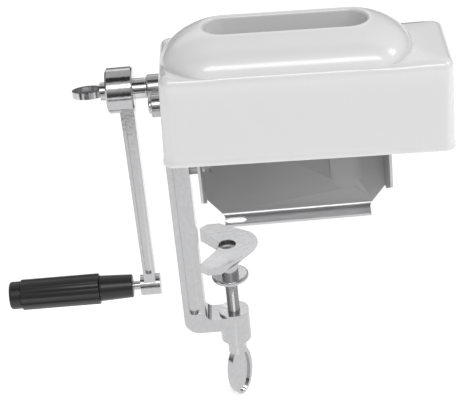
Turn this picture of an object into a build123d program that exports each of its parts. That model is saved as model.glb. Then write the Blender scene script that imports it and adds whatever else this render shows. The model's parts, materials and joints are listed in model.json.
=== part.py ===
from build123d import *
import math
import os

# Hand-crank meat tenderiser that clamps to a table edge. Millimetres, +Z up, +X along the
# rollers away from the crank. The origin is the middle of the seat that stands on the table.

# ---- driving dimensions ----
sheet = 2.0
wall_span = 141.0
wall_top = 143.5
front_clearance = 2.5
rear_clearance = 4.0
bend_height = 78.0
bend_radius = 6.0
lower_edge_front = 44.0
lower_edge_rear = 14.0
seat_depth = 16.0
seat_width = 115.0
corner_clip = 16.0
seat_hole_width = 17.5
seat_hole_depth = 10.0
seat_hole_x = -49.0
pocket_width = 25.0
pocket_length = 62.0
pocket_rise = 2.5
pocket_x = 40.5
pocket_bottom = 16.0

roller_height = 119.2
roller_spacing = 32.0
nip_y = -8.0
journal_dia = 12.0
running_gap = 0.05
side_gap = 0.3

blade_count = 15
blade_pitch = 9.0
blade_dia = 35.0
tooth_count = 20
tooth_depth = 2.2
blade_thick = 1.2
sleeve_dia = 20.0
comb_drop = 12.0
comb_thick = 2.0
comb_strip = 4.5
comb_clearance = 1.2
comb_lip = 9.0
finger_width = 3.0
comb_ear = 4.0
comb_screw_dia = 3.0
comb_screw_head = 5.5
comb_screw_head_thick = 2.0
tie_rod_dia = 8.0
tie_rod_end = 5.0
tie_rod_inset = 6.0
tie_rod_drop = 31.2
tie_nut_across = 8.0
tie_nut_thick = 2.5

drive_bush_dia = 20.0
drive_bush_length = 33.9
driven_bush_dia = 17.5
driven_bush_length = 29.9
spigot_dia = 16.0
right_bush_flange = 3.0
bush_chamfer = 0.8

gear_teeth = 16
gear_face = 12.0
gear_addendum = 0.85
gear_dedendum = 1.2
tooth_shares = {"tip": 0.10, "pitch": 0.225, "base": 0.33}
washer_thick = 1.5
nut_across = 16.0
nut_thick = 7.0
shaft_thread = 10.0

hood_length = 218.0
hood_overhang = 9.5
hood_height = 72.0
hood_bottom = 76.2
hood_draft = 1.65
hood_center_x = 11.6
hood_corner = 9.0
hood_wall = 2.0
roof_thick = 2.7
hood_roof_radius = 5.0
notch_gap = 1.0
notch_reach = 4.0
funnel_height = 18.5
mouth_length = 121.0
mouth_depth = 31.0
mouth_y = 2.0
funnel_x = -0.5
hood_tilt = 1.4
funnel_base_length = 186.0
funnel_base_depth = 66.0
funnel_wall = 2.6
funnel_end_flat = 1.0

crank_hub_dia = 35.0
crank_hub_thick = 20.7
crank_hub_stand_off = 10.0
crank_reach = 176.0
crank_arm_inset = 7.0
crank_arm_top = 11.0
crank_arm_foot = 9.0
crank_arm_deep = 15.0
crank_channel = 5.0
crank_channel_depth = 3.5
crank_channel_margins = {"hub": 4.0, "boss": 5.0}
crank_taper = 2.0
crank_hub_chamfer = 1.2
crank_boss_dia = 17.0
crank_boss_thick = 16.0
crank_boss_proud = 1.0
dog_dia = 16.0
dog_gap = 1.0
crank_screw_dia = 8.0
crank_screw_depth = 26.0
crank_screw_short = 2.0
crank_wing_length = 26.7
crank_wing_width = 21.0
crank_wing_angle = -9.0
crank_wing_hub = 5.0
crank_wing_root = 3.0
crank_wing_hub_dia = 14.0

spindle_dia = 7.0
spindle_head = 12.0
spindle_head_thick = 3.0
grip_stand_off = 6.6
grip_length = 100.4
grip_dia = 25.0
grip_cone_dia = 18.7
grip_cone_big = 21.0
grip_cone_length = 31.0
grip_cap_dia = 22.5
grip_cap_length = 9.5
flute_count = 8
flute_depth = 0.9
flute_width = 3.4
grip_cap_round = 2.0

arm_stand_off = 8.4
arm_thick = 17.5
arm_wide = 22.0
arm_top = 75.0
jaw_top = -83.8
jaw_thick = 12.0
jaw_corner = 12.0
boss_dia = 24.5
boss_bottom = -109.2
boss_rise = 2.0
screw_throat = 22.7
arm_recess_wide = 8.0
arm_recess_depth = 3.0
bolt_dia = 8.0
bolt_across = 13.0
bolt_head = 5.3
bolt_washer = 1.6
bolt_depth = 14.0
bolt_heights = (70.0, 54.0)

clamp_screw_dia = 10.0
clamp_neck_dia = 8.0
shoe_top = -20.2
shoe_thick = 9.3
shoe_half_span = 34.0
shoe_tip_gap = 0.7
shoe_vertex_inset = 3.8
shoe_nose_reach = 24.7
shoe_hub_bottom = -47.4
shoe_neck = 14.0
shoe_bevel = 6.0
shoe_foot_span = 30.0
shoe_foot_reach = 14.2
swivel_dia = 30.0
swivel_thick = 4.0
rivet_head_dia = 14.0
rivet_head_thick = 2.0
rivet_sink = 1.0
collar_dia = 15.0
collar_thick = 5.0
wing_hub_dia = 15.0
wing_hub_top = -110.8
wing_top = -118.3
wing_bottom = -165.3
wing_width = 26.0
wing_thick = 5.0
wing_rim = 3.0
wing_angle = 50.0
wing_pin_dia = 3.0
wing_hub_foot = 4.0

# ---- worked-out places ----
drive_y = nip_y + roller_spacing / 2
driven_y = nip_y - roller_spacing / 2
wall_front = driven_y - blade_dia / 2 - front_clearance
wall_rear = drive_y + blade_dia / 2 + rear_clearance
wall_inner = wall_span / 2
wall_outer = wall_inner + sheet
seat_rear = seat_depth / 2
seat_front = -seat_depth / 2
slope_run = wall_rear - seat_rear
slope_length = math.hypot(slope_run, bend_height)
drive_bush_end = -wall_outer - drive_bush_length
driven_bush_end = -wall_outer - driven_bush_length
crank_hub_inner = drive_bush_end - crank_hub_stand_off
crank_hub_outer = crank_hub_inner - crank_hub_thick
crank_arm_center = crank_hub_inner - crank_arm_inset
crank_boss_inner = crank_hub_inner + crank_boss_proud
crank_boss_outer = crank_boss_inner - crank_boss_thick
grip_inner_end = crank_boss_outer - grip_stand_off
grip_outer_end = grip_inner_end - grip_length
boss_z = roller_height - crank_reach
blade_radius = blade_dia / 2
root_radius = blade_radius - tooth_depth
comb_top = roller_height - comb_drop
tie_rod_y = wall_front + tie_rod_inset
tie_rod_z = roller_height - tie_rod_drop
gear_module = roller_spacing / gear_teeth
hood_depth = wall_rear - wall_front + hood_overhang
comb_reach = blade_radius + comb_clearance
comb_edges = {-1: driven_y - comb_reach, 1: drive_y + comb_reach}
comb_screw_z = comb_top - comb_lip / 2
comb_screw_places = [(comb_edges[side] - side * comb_strip / 2, comb_screw_z) for side in (-1, 1)]
crank_boss_center = (crank_boss_outer + crank_boss_inner) / 2
arm_inner = -wall_outer - arm_stand_off
arm_outer = arm_inner - arm_thick
screw_x = arm_inner + screw_throat
shoe_tip_x = arm_inner + shoe_tip_gap
shoe_vertex_x = screw_x - shoe_vertex_inset
shoe_nose_x = screw_x + shoe_nose_reach
shoe_foot_nose_x = screw_x + shoe_foot_reach
gear_start = wall_outer + right_bush_flange + side_gap
gear_end = gear_start + gear_face
washer_end = gear_end + washer_thick
nut_end = washer_end + nut_thick

wing_pin_plane = Plane(
    origin=(screw_x, 0, (wing_hub_top + wing_top) / 2),
    z_dir=(math.sin(math.radians(wing_angle)), -math.cos(math.radians(wing_angle)), 0),
)

os.makedirs("parts", exist_ok=True)


def rollerPlane(x, y, turn=0.0):
    """Plane across a roller at x, its normal pointing along +X, turned by degrees."""
    spoke = (0, math.cos(math.radians(turn)), math.sin(math.radians(turn)))
    return Plane(origin=(x, y, roller_height), x_dir=spoke, z_dir=(1, 0, 0))


def crankPlane(x, z):
    """Plane across the crank's own axis at x, its normal pointing along +X."""
    return Plane(origin=(x, drive_y, z), x_dir=(0, 1, 0), z_dir=(1, 0, 0))


def save(piece, name):
    piece.part.label = name
    export_step(piece.part, f"parts/{name}.step")


# ---- housing: left wall, right wall, sloping rear wall, seat ----
with BuildPart() as housing:
    # rear wall and seat, one bent strip
    with BuildSketch(Plane.YZ) as strip_section:
        with BuildLine():
            FilletPolyline(
                (wall_rear, wall_top),
                (wall_rear, bend_height),
                (seat_rear, 0),
                (seat_front, 0),
                radius=bend_radius,
            )
            offset(amount=sheet, side=Side.RIGHT)
        make_face()
    extrude(amount=wall_outer, both=True)
    # clipped lower corners of the strip
    with BuildSketch(Plane.XZ.offset(-wall_rear - sheet)):
        for side in (-1, 1):
            with BuildLine():
                Polyline(
                    (side * (wall_outer + 1), -sheet),
                    (side * seat_width / 2, -sheet),
                    (side * seat_width / 2, sheet),
                    (side * wall_outer, sheet + corner_clip),
                    (side * (wall_outer + 1), sheet + corner_clip),
                    close=True,
                )
            make_face()
    extrude(amount=wall_rear + seat_depth + 2 * sheet, mode=Mode.SUBTRACT)
    # side walls
    for side in (-1, 1):
        with BuildSketch(Plane.YZ.offset(wall_inner if side > 0 else -wall_outer)):
            with BuildLine():
                Polyline(
                    (wall_front, wall_top),
                    (wall_rear - bend_radius, wall_top),
                    (wall_rear, wall_top - bend_radius),
                    (wall_rear, bend_height),
                    (seat_rear + slope_run * (sheet + corner_clip) / bend_height, sheet + corner_clip),
                    (seat_rear, lower_edge_rear),
                    (wall_front, lower_edge_front),
                    close=True,
                )
            make_face()
        extrude(amount=sheet)
    # round-ended pocket pressed into the rear wall, raised on the inside
    slope_plane = Plane(
        origin=(pocket_x, seat_rear + slope_run * pocket_bottom / bend_height, pocket_bottom),
        x_dir=(0, slope_run, bend_height),
        z_dir=(0, -bend_height, slope_run),
    )
    with BuildSketch(slope_plane.offset(sheet / 2)):
        with Locations((pocket_length / 2, 0)):
            SlotOverall(pocket_length, pocket_width)
    extrude(amount=sheet / 2 + pocket_rise)
    with BuildSketch(slope_plane):
        with Locations((pocket_length / 2, 0)):
            SlotOverall(pocket_length - 2 * sheet, pocket_width - 2 * sheet)
    extrude(amount=pocket_rise, mode=Mode.SUBTRACT)
    # punched hole in the seat
    with BuildSketch(Plane.XY):
        with Locations((seat_hole_x, 0)):
            SlotOverall(seat_hole_width, seat_hole_depth)
    extrude(amount=sheet, mode=Mode.SUBTRACT)
    # bush holes and bolt holes
    with BuildSketch(Plane.YZ.offset(-wall_outer)):
        with Locations((drive_y, roller_height), (driven_y, roller_height)):
            Circle(spigot_dia / 2 + running_gap)
    extrude(amount=2 * wall_outer, mode=Mode.SUBTRACT)
    with BuildSketch(Plane.YZ.offset(-wall_outer)):
        for height in bolt_heights:
            with Locations((0, height)):
                Circle(bolt_dia / 2 + running_gap)
    extrude(amount=sheet, mode=Mode.SUBTRACT)
    with BuildSketch(Plane.YZ.offset(-wall_outer)):
        with Locations(*comb_screw_places):
            Circle(comb_screw_dia / 2 + running_gap)
        with Locations((tie_rod_y, tie_rod_z)):
            Circle(tie_rod_end / 2 + running_gap)
    extrude(amount=2 * wall_outer, mode=Mode.SUBTRACT)
save(housing, "housing")

# ---- bushes ----
for label, center_y, outer_dia, left_end in (
    ("drive_left_bush", drive_y, drive_bush_dia, drive_bush_end),
    ("driven_left_bush", driven_y, driven_bush_dia, driven_bush_end),
):
    with BuildPart() as left_bush:
        with BuildSketch(rollerPlane(left_end, center_y)):
            Circle(outer_dia / 2)
        extrude(amount=-wall_outer - left_end)
        with BuildSketch(rollerPlane(-wall_outer, center_y)):
            Circle(spigot_dia / 2)
        extrude(amount=sheet + side_gap)
        with BuildSketch(rollerPlane(left_end, center_y)):
            Circle(journal_dia / 2 + running_gap)
        extrude(amount=-wall_inner - left_end + side_gap, mode=Mode.SUBTRACT)
        chamfer(left_bush.edges().filter_by(GeomType.CIRCLE).group_by(Axis.X)[0], bush_chamfer)
    save(left_bush, label)

for label, center_y in (("drive_right_bush", drive_y), ("driven_right_bush", driven_y)):
    with BuildPart() as right_bush:
        with BuildSketch(rollerPlane(wall_outer, center_y)):
            Circle(drive_bush_dia / 2)
        extrude(amount=right_bush_flange)
        with BuildSketch(rollerPlane(wall_inner - side_gap, center_y)):
            Circle(spigot_dia / 2)
        extrude(amount=sheet + side_gap)
        with BuildSketch(rollerPlane(wall_inner - side_gap, center_y)):
            Circle(journal_dia / 2 + running_gap)
        extrude(amount=sheet + side_gap + right_bush_flange, mode=Mode.SUBTRACT)
    save(right_bush, label)


def discOutline(points):
    """Saw-toothed outline of a blade."""
    step = 2 * math.pi / points
    outline = []
    for tooth in range(points):
        tip = tooth * step
        outline.append((blade_radius * math.cos(tip), blade_radius * math.sin(tip)))
        root = tip + step / 2
        outline.append((root_radius * math.cos(root), root_radius * math.sin(root)))
    return outline


def gearOutline():
    """Straight-flanked teeth that run with a little backlash."""
    pitch_radius = gear_module * gear_teeth / 2
    tip_radius = pitch_radius + gear_addendum * gear_module
    base_radius = pitch_radius - gear_dedendum * gear_module
    step = 2 * math.pi / gear_teeth
    half_tip = step * tooth_shares["tip"]
    half_pitch = step * tooth_shares["pitch"]
    half_base = step * tooth_shares["base"]
    outline = []
    for tooth in range(gear_teeth):
        middle = tooth * step
        for angle, radius in (
            (-half_base, base_radius),
            (-half_pitch, pitch_radius),
            (-half_tip, tip_radius),
            (half_tip, tip_radius),
            (half_pitch, pitch_radius),
            (half_base, base_radius),
        ):
            outline.append((radius * math.cos(middle + angle), radius * math.sin(middle + angle)))
    return outline


# ---- the two rollers ----
stack_start = -wall_inner + 3 * side_gap
stack_end = wall_inner - 3 * side_gap
for roller, center_y, count, gear_turn in (
    ("drive", drive_y, blade_count, 0.0),
    ("driven", driven_y, blade_count - 1, 180.0 / gear_teeth),
):
    first_blade = -(count - 1) * blade_pitch / 2
    blade_places = [first_blade + number * blade_pitch for number in range(count)]

    with BuildPart() as blades:
        for place in blade_places:
            with BuildSketch(rollerPlane(place - blade_thick / 2, center_y)):
                with BuildLine():
                    Polyline(*discOutline(tooth_count), close=True)
                make_face()
                Circle(journal_dia / 2 + running_gap, mode=Mode.SUBTRACT)
            extrude(amount=blade_thick)
    save(blades, f"{roller}_blades")

    with BuildPart() as sleeves:
        edges_of_sleeves = [stack_start]
        for place in blade_places:
            edges_of_sleeves += [place - blade_thick / 2, place + blade_thick / 2]
        edges_of_sleeves.append(stack_end)
        for number in range(count + 1):
            sleeve_start = edges_of_sleeves[2 * number]
            sleeve_end = edges_of_sleeves[2 * number + 1]
            with BuildSketch(rollerPlane(sleeve_start, center_y)):
                Circle(sleeve_dia / 2)
                Circle(journal_dia / 2 + running_gap, mode=Mode.SUBTRACT)
            extrude(amount=sleeve_end - sleeve_start)
    save(sleeves, f"{roller}_sleeves")

    with BuildPart() as gear:
        with BuildSketch(rollerPlane(gear_start, center_y, gear_turn)):
            with BuildLine():
                Polyline(*gearOutline(), close=True)
            make_face()
            Circle(journal_dia / 2 + running_gap, mode=Mode.SUBTRACT)
        extrude(amount=gear_face)
    save(gear, f"{roller}_gear")

    with BuildPart() as washer:
        with BuildSketch(rollerPlane(gear_end, center_y)):
            Circle(drive_bush_dia / 2 + side_gap)
            Circle(shaft_thread / 2 + running_gap, mode=Mode.SUBTRACT)
        extrude(amount=washer_thick)
    save(washer, f"{roller}_washer")

    with BuildPart() as nut:
        with BuildSketch(rollerPlane(washer_end, center_y)):
            RegularPolygon(nut_across / 2, 6, major_radius=False)
            Circle(shaft_thread / 2 + running_gap, mode=Mode.SUBTRACT)
        extrude(amount=nut_thick)
    save(nut, f"{roller}_nut")

# ---- shafts ----
with BuildPart() as drive_shaft:
    with BuildSketch(rollerPlane(drive_bush_end - side_gap, drive_y)):
        Circle(journal_dia / 2)
    extrude(amount=gear_end - drive_bush_end + side_gap)
    with BuildSketch(rollerPlane(gear_end, drive_y)):
        Circle(shaft_thread / 2)
    extrude(amount=washer_thick + nut_thick + side_gap)
    # half-moon tongue that meets the crank's dog
    with BuildSketch(rollerPlane(crank_hub_inner, drive_y)):
        Circle(dog_dia / 2)
        with Locations((0, dog_dia / 2 - dog_gap / 4)):
            Rectangle(dog_dia + 1, dog_dia, mode=Mode.SUBTRACT)
    extrude(amount=drive_bush_end - side_gap - crank_hub_inner)
    with BuildSketch(rollerPlane(drive_bush_end - side_gap - dog_gap, drive_y)):
        Circle(dog_dia / 2)
    extrude(amount=dog_gap)
    with BuildSketch(rollerPlane(crank_hub_inner, drive_y)):
        Circle(crank_screw_dia / 2 + running_gap)
    extrude(amount=crank_screw_depth, mode=Mode.SUBTRACT)
save(drive_shaft, "drive_shaft")

with BuildPart() as driven_shaft:
    with BuildSketch(rollerPlane(driven_bush_end - 2, driven_y)):
        Circle(journal_dia / 2)
    extrude(amount=gear_end - driven_bush_end + 2)
    with BuildSketch(rollerPlane(gear_end, driven_y)):
        Circle(shaft_thread / 2)
    extrude(amount=washer_thick + nut_thick + side_gap)
    chamfer(driven_shaft.edges().filter_by(GeomType.CIRCLE).group_by(Axis.X)[0], 1)
save(driven_shaft, "driven_shaft")

# ---- combs ----
comb_half = wall_inner
for label, outward, roller_blades in (
    ("front_comb", -1, blade_count - 1),
    ("rear_comb", 1, blade_count),
):
    strip_outer = comb_edges[outward]
    strip_inner = strip_outer - outward * comb_strip
    tip = nip_y + outward * 2.5
    with BuildPart() as comb:
        with BuildSketch(Plane.XY.offset(comb_top - comb_thick)):
            with Locations((0, (strip_outer + strip_inner) / 2)):
                Rectangle(2 * comb_half, comb_strip)
            first_gap = -roller_blades * blade_pitch / 2
            for number in range(roller_blades + 1):
                finger_x = first_gap + number * blade_pitch
                if abs(finger_x) < comb_half - finger_width:
                    with Locations((finger_x, (strip_inner + tip) / 2)):
                        Rectangle(finger_width, abs(strip_inner - tip))
        extrude(amount=comb_thick)
        with BuildSketch(Plane.XY.offset(comb_top - comb_lip)):
            with Locations((0, strip_outer - outward * comb_thick / 2)):
                Rectangle(2 * comb_half, comb_thick)
        extrude(amount=comb_lip)
        # ears that the side screws go into
        with BuildSketch(Plane.XY.offset(comb_top - comb_lip)):
            for side in (-1, 1):
                with Locations((side * (comb_half - comb_ear / 2), (strip_outer + strip_inner) / 2)):
                    Rectangle(comb_ear, comb_strip)
        extrude(amount=comb_lip)
        with BuildSketch(Plane.YZ.offset(-comb_half)):
            with Locations(comb_screw_places[(outward + 1) // 2]):
                Circle(comb_screw_dia / 2 + running_gap)
        extrude(amount=2 * comb_half, mode=Mode.SUBTRACT)
    save(comb, label)

with BuildPart() as comb_screws:
    for side in (-1, 1):
        for place in comb_screw_places:
            with BuildSketch(Plane(origin=(side * wall_outer, place[0], place[1]), z_dir=(side, 0, 0))):
                Circle(comb_screw_head / 2)
            extrude(amount=comb_screw_head_thick)
            with BuildSketch(Plane(origin=(side * wall_outer, place[0], place[1]), z_dir=(side, 0, 0))):
                Circle(comb_screw_dia / 2)
            extrude(amount=-sheet - comb_ear)
save(comb_screws, "comb_screws")

# ---- tie rod across the open front ----
with BuildPart() as tie_rod:
    with BuildSketch(Plane(origin=(-wall_inner, tie_rod_y, tie_rod_z), z_dir=(1, 0, 0))):
        Circle(tie_rod_dia / 2)
    extrude(amount=2 * wall_inner)
    tie_reach = wall_outer + tie_nut_thick
    with BuildSketch(Plane(origin=(-tie_reach, tie_rod_y, tie_rod_z), z_dir=(1, 0, 0))):
        Circle(tie_rod_end / 2)
    extrude(amount=2 * tie_reach)
save(tie_rod, "tie_rod")

with BuildPart() as tie_nuts:
    for side in (-1, 1):
        with BuildSketch(Plane(origin=(side * wall_outer, tie_rod_y, tie_rod_z), z_dir=(side, 0, 0))):
            RegularPolygon(tie_nut_across / 2, 6, major_radius=False)
            Circle(tie_rod_end / 2 + running_gap, mode=Mode.SUBTRACT)
        extrude(amount=tie_nut_thick)
save(tie_nuts, "tie_nuts")

# ---- hood: drawn cover with an oblong mouth ----
hood_turn = math.radians(hood_tilt)
hood_base = Plane(
    origin=(hood_center_x, nip_y, hood_bottom),
    x_dir=(math.cos(hood_turn), 0, -math.sin(hood_turn)),
    z_dir=(math.sin(hood_turn), 0, math.cos(hood_turn)),
)
funnel_offset = funnel_x - hood_center_x
mouth_offset = mouth_y - nip_y
funnel_foot = hood_height - hood_roof_radius


with BuildPart() as hood:
    with BuildSketch(hood_base):
        RectangleRounded(hood_length, hood_depth, hood_corner)
    with BuildSketch(hood_base.offset(hood_height)):
        RectangleRounded(hood_length - 2 * hood_draft, hood_depth - 2 * hood_draft, hood_corner)
    loft()
    roof_edges = hood.faces().sort_by(Axis.Z)[-1].edges()
    fillet(roof_edges, hood_roof_radius)
    # funnel, outside
    with BuildSketch(hood_base.offset(funnel_foot)):
        with Locations((funnel_offset, 0)):
            RectangleRounded(
                funnel_base_length, funnel_base_depth, funnel_base_depth / 2 - funnel_end_flat
            )
    with BuildSketch(hood_base.offset(hood_height + funnel_height)):
        with Locations((funnel_offset, mouth_offset)):
            RectangleRounded(
                mouth_length + 2 * funnel_wall,
                mouth_depth + 2 * funnel_wall,
                mouth_depth / 2 + funnel_wall - funnel_end_flat,
            )
    loft()
    # inside of the skirt
    with BuildSketch(hood_base):
        RectangleRounded(hood_length - 2 * hood_wall, hood_depth - 2 * hood_wall, hood_corner - hood_wall)
    with BuildSketch(hood_base.offset(hood_height - roof_thick)):
        RectangleRounded(
            hood_length - 2 * (hood_wall + hood_draft),
            hood_depth - 2 * (hood_wall + hood_draft),
            hood_corner - hood_wall,
        )
    loft(mode=Mode.SUBTRACT)
    # inside of the funnel
    with BuildSketch(hood_base.offset(funnel_foot)):
        with Locations((funnel_offset, 0)):
            RectangleRounded(
                funnel_base_length - 2 * funnel_wall,
                funnel_base_depth - 2 * funnel_wall,
                funnel_base_depth / 2 - funnel_wall - funnel_end_flat,
            )
    with BuildSketch(hood_base.offset(hood_height + funnel_height)):
        with Locations((funnel_offset, mouth_offset)):
            RectangleRounded(mouth_length, mouth_depth, mouth_depth / 2 - funnel_end_flat)
    loft(mode=Mode.SUBTRACT)
    # notches, open at the bottom, that drop over the bushes
    for center_y, bush_dia in ((drive_y, drive_bush_dia), (driven_y, driven_bush_dia)):
        notch_half = bush_dia / 2 + notch_gap
        with BuildSketch(Plane.YZ.offset(hood_center_x - hood_length / 2 - notch_reach)):
            with Locations((center_y, roller_height)):
                Circle(notch_half)
            with Locations((center_y, roller_height / 2)):
                Rectangle(2 * notch_half, roller_height)
        extrude(amount=2 * notch_reach + hood_wall, mode=Mode.SUBTRACT)
save(hood, "hood")

# ---- crank ----
with BuildPart() as crank_arm:
    with BuildSketch(crankPlane(crank_hub_outer, roller_height)):
        Circle(crank_hub_dia / 2)
    extrude(amount=crank_hub_inner - crank_hub_outer)
    chamfer(crank_arm.edges().filter_by(GeomType.CIRCLE), crank_hub_chamfer)
    with BuildSketch(Plane.XY.offset(roller_height)):
        with Locations((crank_arm_center, drive_y)):
            Rectangle(crank_arm_top, crank_arm_deep)
    with BuildSketch(Plane.XY.offset(boss_z)):
        with Locations((crank_boss_center, drive_y)):
            Rectangle(crank_arm_foot, crank_arm_deep - crank_taper)
    loft()
    with BuildSketch(crankPlane(crank_boss_outer, boss_z)):
        Circle(crank_boss_dia / 2)
    extrude(amount=crank_boss_inner - crank_boss_outer)
    # channels down the front and back of the arm
    channel_top = roller_height - crank_hub_dia / 2 - crank_channel_margins["hub"]
    channel_foot = boss_z + crank_boss_dia / 2 + crank_channel_margins["boss"]
    channel_length = channel_top - channel_foot
    for side in (-1, 1):
        face_y = drive_y + side * crank_arm_deep / 2
        channel_plane = Plane(
            origin=((crank_arm_center + crank_boss_center) / 2, face_y, (channel_top + channel_foot) / 2),
            x_dir=(crank_arm_center - crank_boss_center, 0, crank_reach),
            z_dir=(0, side, 0),
        )
        with BuildSketch(channel_plane.offset(1)):
            SlotOverall(channel_length, crank_channel)
        extrude(amount=-1 - crank_channel_depth, mode=Mode.SUBTRACT)
    # half-moon dog towards the shaft
    with BuildSketch(crankPlane(crank_hub_inner, roller_height)):
        Circle(dog_dia / 2)
        with Locations((0, -dog_dia / 2 + dog_gap / 4)):
            Rectangle(dog_dia + 1, dog_dia, mode=Mode.SUBTRACT)
    extrude(amount=drive_bush_end - dog_gap - 2 * side_gap - crank_hub_inner)
    with BuildSketch(crankPlane(crank_hub_outer, roller_height)):
        Circle(crank_screw_dia / 2 + running_gap)
    extrude(amount=drive_bush_end - crank_hub_outer, mode=Mode.SUBTRACT)
    with BuildSketch(crankPlane(crank_boss_outer, boss_z)):
        Circle(spindle_dia / 2 + running_gap)
    extrude(amount=crank_boss_inner - crank_boss_outer, mode=Mode.SUBTRACT)
save(crank_arm, "crank_arm")


def wingLeaf(root, outward, normal, length, width, thick, rim):
    """Oval leaf of a wing screw, thinner inside its rim, as a private solid."""
    leaf_plane = Plane(origin=root, x_dir=outward, z_dir=normal)
    with BuildPart(mode=Mode.PRIVATE) as leaf:
        with BuildSketch(leaf_plane):
            with Locations((length / 2, 0)):
                Ellipse(length / 2, width / 2)
        extrude(amount=thick / 2, both=True)
        for side in (-1, 1):
            with BuildSketch(leaf_plane.offset(side * thick / 2)):
                with Locations((length / 2 + rim / 4, 0)):
                    Ellipse(length / 2 - rim, width / 2 - rim)
            extrude(amount=-side * thick / 3, mode=Mode.SUBTRACT)
    return leaf.part


crank_wing_turn = math.radians(crank_wing_angle)
crank_leaf = wingLeaf(
    (crank_hub_outer - crank_wing_hub + crank_wing_root, drive_y, roller_height),
    (-1, 0, 0),
    (0, -math.sin(crank_wing_turn), math.cos(crank_wing_turn)),
    crank_wing_length - crank_wing_hub + crank_wing_root,
    crank_wing_width,
    wing_thick,
    wing_rim,
)
with BuildPart() as crank_wing_screw:
    with BuildSketch(crankPlane(crank_hub_outer - crank_wing_hub, roller_height)):
        Circle(crank_wing_hub_dia / 2)
    extrude(amount=crank_wing_hub - side_gap)
    with BuildSketch(crankPlane(crank_hub_outer - side_gap, roller_height)):
        Circle(crank_screw_dia / 2)
    extrude(amount=crank_hub_inner - crank_hub_outer + crank_screw_depth - crank_screw_short)
    add(crank_leaf)
save(crank_wing_screw, "crank_wing_screw")

# ---- handle ----
grip_body_end = grip_outer_end + grip_cap_length
spindle_end = grip_body_end - side_gap - spindle_head_thick
with BuildPart() as handle_spindle:
    with BuildSketch(crankPlane(spindle_end, boss_z)):
        Circle(spindle_head / 2)
    extrude(amount=spindle_head_thick)
    with BuildSketch(crankPlane(spindle_end, boss_z)):
        Circle(spindle_dia / 2)
    extrude(amount=crank_boss_inner - spindle_end)
save(handle_spindle, "handle_spindle")

with BuildPart() as grip:
    with BuildSketch(Plane.XZ.offset(-drive_y)):
        with BuildLine():
            Polyline(
                (grip_inner_end, boss_z + spindle_dia / 2 + 2 * running_gap),
                (grip_inner_end, boss_z + grip_cone_dia / 2),
                (grip_inner_end - grip_cone_length, boss_z + grip_cone_big / 2),
                (grip_inner_end - grip_cone_length, boss_z + grip_dia / 2),
                (grip_body_end, boss_z + grip_dia / 2),
                (grip_body_end, boss_z + spindle_dia / 2 + 2 * running_gap),
                close=True,
            )
        make_face()
    revolve(axis=Axis((0, drive_y, boss_z), (1, 0, 0)))
    with BuildSketch(crankPlane(grip_body_end, boss_z)):
        with PolarLocations(grip_dia / 2, flute_count):
            Rectangle(2 * flute_depth, flute_width)
    extrude(amount=grip_length - grip_cap_length - grip_cone_length, mode=Mode.SUBTRACT)
save(grip, "grip")

with BuildPart() as grip_cap:
    with BuildSketch(crankPlane(grip_outer_end, boss_z)):
        Circle(grip_cap_dia / 2)
    extrude(amount=grip_cap_length)
    fillet(grip_cap.edges().group_by(Axis.X)[0], grip_cap_round)
    with BuildSketch(crankPlane(spindle_end - 1, boss_z)):
        Circle(spindle_head / 2 + side_gap)
    extrude(amount=grip_body_end - spindle_end + 1, mode=Mode.SUBTRACT)
save(grip_cap, "grip_cap")

# ---- clamp frame ----
jaw_bottom = jaw_top - jaw_thick
with BuildPart() as clamp_frame:
    with BuildSketch(Plane.XZ):
        with BuildLine():
            Polyline(
                (arm_outer, arm_top),
                (arm_outer, jaw_bottom),
                (screw_x, jaw_bottom),
                (screw_x, jaw_top),
                (arm_inner, jaw_top),
                (arm_inner, arm_top),
                close=True,
            )
        make_face()
    extrude(amount=arm_wide / 2, both=True)
    cross_edges = clamp_frame.edges().filter_by(Axis.Y)
    fillet(cross_edges.group_by(Axis.X)[0].sort_by(Axis.Z)[0], jaw_corner)
    cross_edges = clamp_frame.edges().filter_by(Axis.Y)
    fillet(cross_edges.sort_by_distance((arm_inner, 0, jaw_top))[0], jaw_corner / 2)
    with BuildSketch(Plane.XY.offset(boss_bottom)):
        with Locations((screw_x, 0)):
            Circle(boss_dia / 2)
    extrude(amount=jaw_top - boss_bottom + boss_rise)
    # long recess down the front and back of the arm
    recess_foot = jaw_top + jaw_corner / 2
    recess_top = arm_top - arm_recess_wide
    recess_middle = (recess_foot + recess_top) / 2
    arm_middle = (arm_outer + arm_inner) / 2
    for side in (-1, 1):
        recess_floor = side * (arm_wide / 2 - arm_recess_depth)
        recess_plane = Plane(
            origin=(arm_middle, recess_floor, recess_middle),
            x_dir=(0, 0, 1),
            z_dir=(0, side, 0),
        )
        with BuildSketch(recess_plane):
            SlotOverall(recess_top - recess_foot, arm_recess_wide)
        extrude(amount=arm_recess_depth, mode=Mode.SUBTRACT)
    with BuildSketch(Plane.XY.offset(boss_bottom)):
        with Locations((screw_x, 0)):
            Circle(clamp_screw_dia / 2 + running_gap)
    extrude(amount=jaw_top - boss_bottom + boss_rise, mode=Mode.SUBTRACT)
    with BuildSketch(Plane.YZ.offset(arm_inner)):
        for height in bolt_heights:
            with Locations((0, height)):
                Circle(bolt_dia / 2 + running_gap)
    extrude(amount=-bolt_depth, mode=Mode.SUBTRACT)
save(clamp_frame, "clamp_frame")

with BuildPart() as clamp_bolts:
    head_start = -wall_inner + bolt_washer
    for height in bolt_heights:
        with BuildSketch(Plane(origin=(head_start, 0, height), x_dir=(0, 1, 0), z_dir=(1, 0, 0))):
            RegularPolygon(bolt_across / 2, 6, major_radius=False)
        extrude(amount=bolt_head)
        with BuildSketch(Plane(origin=(head_start, 0, height), x_dir=(0, 1, 0), z_dir=(1, 0, 0))):
            Circle(bolt_dia / 2)
        extrude(amount=arm_inner - bolt_depth + 1 - head_start)
save(clamp_bolts, "clamp_bolts")

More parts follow.
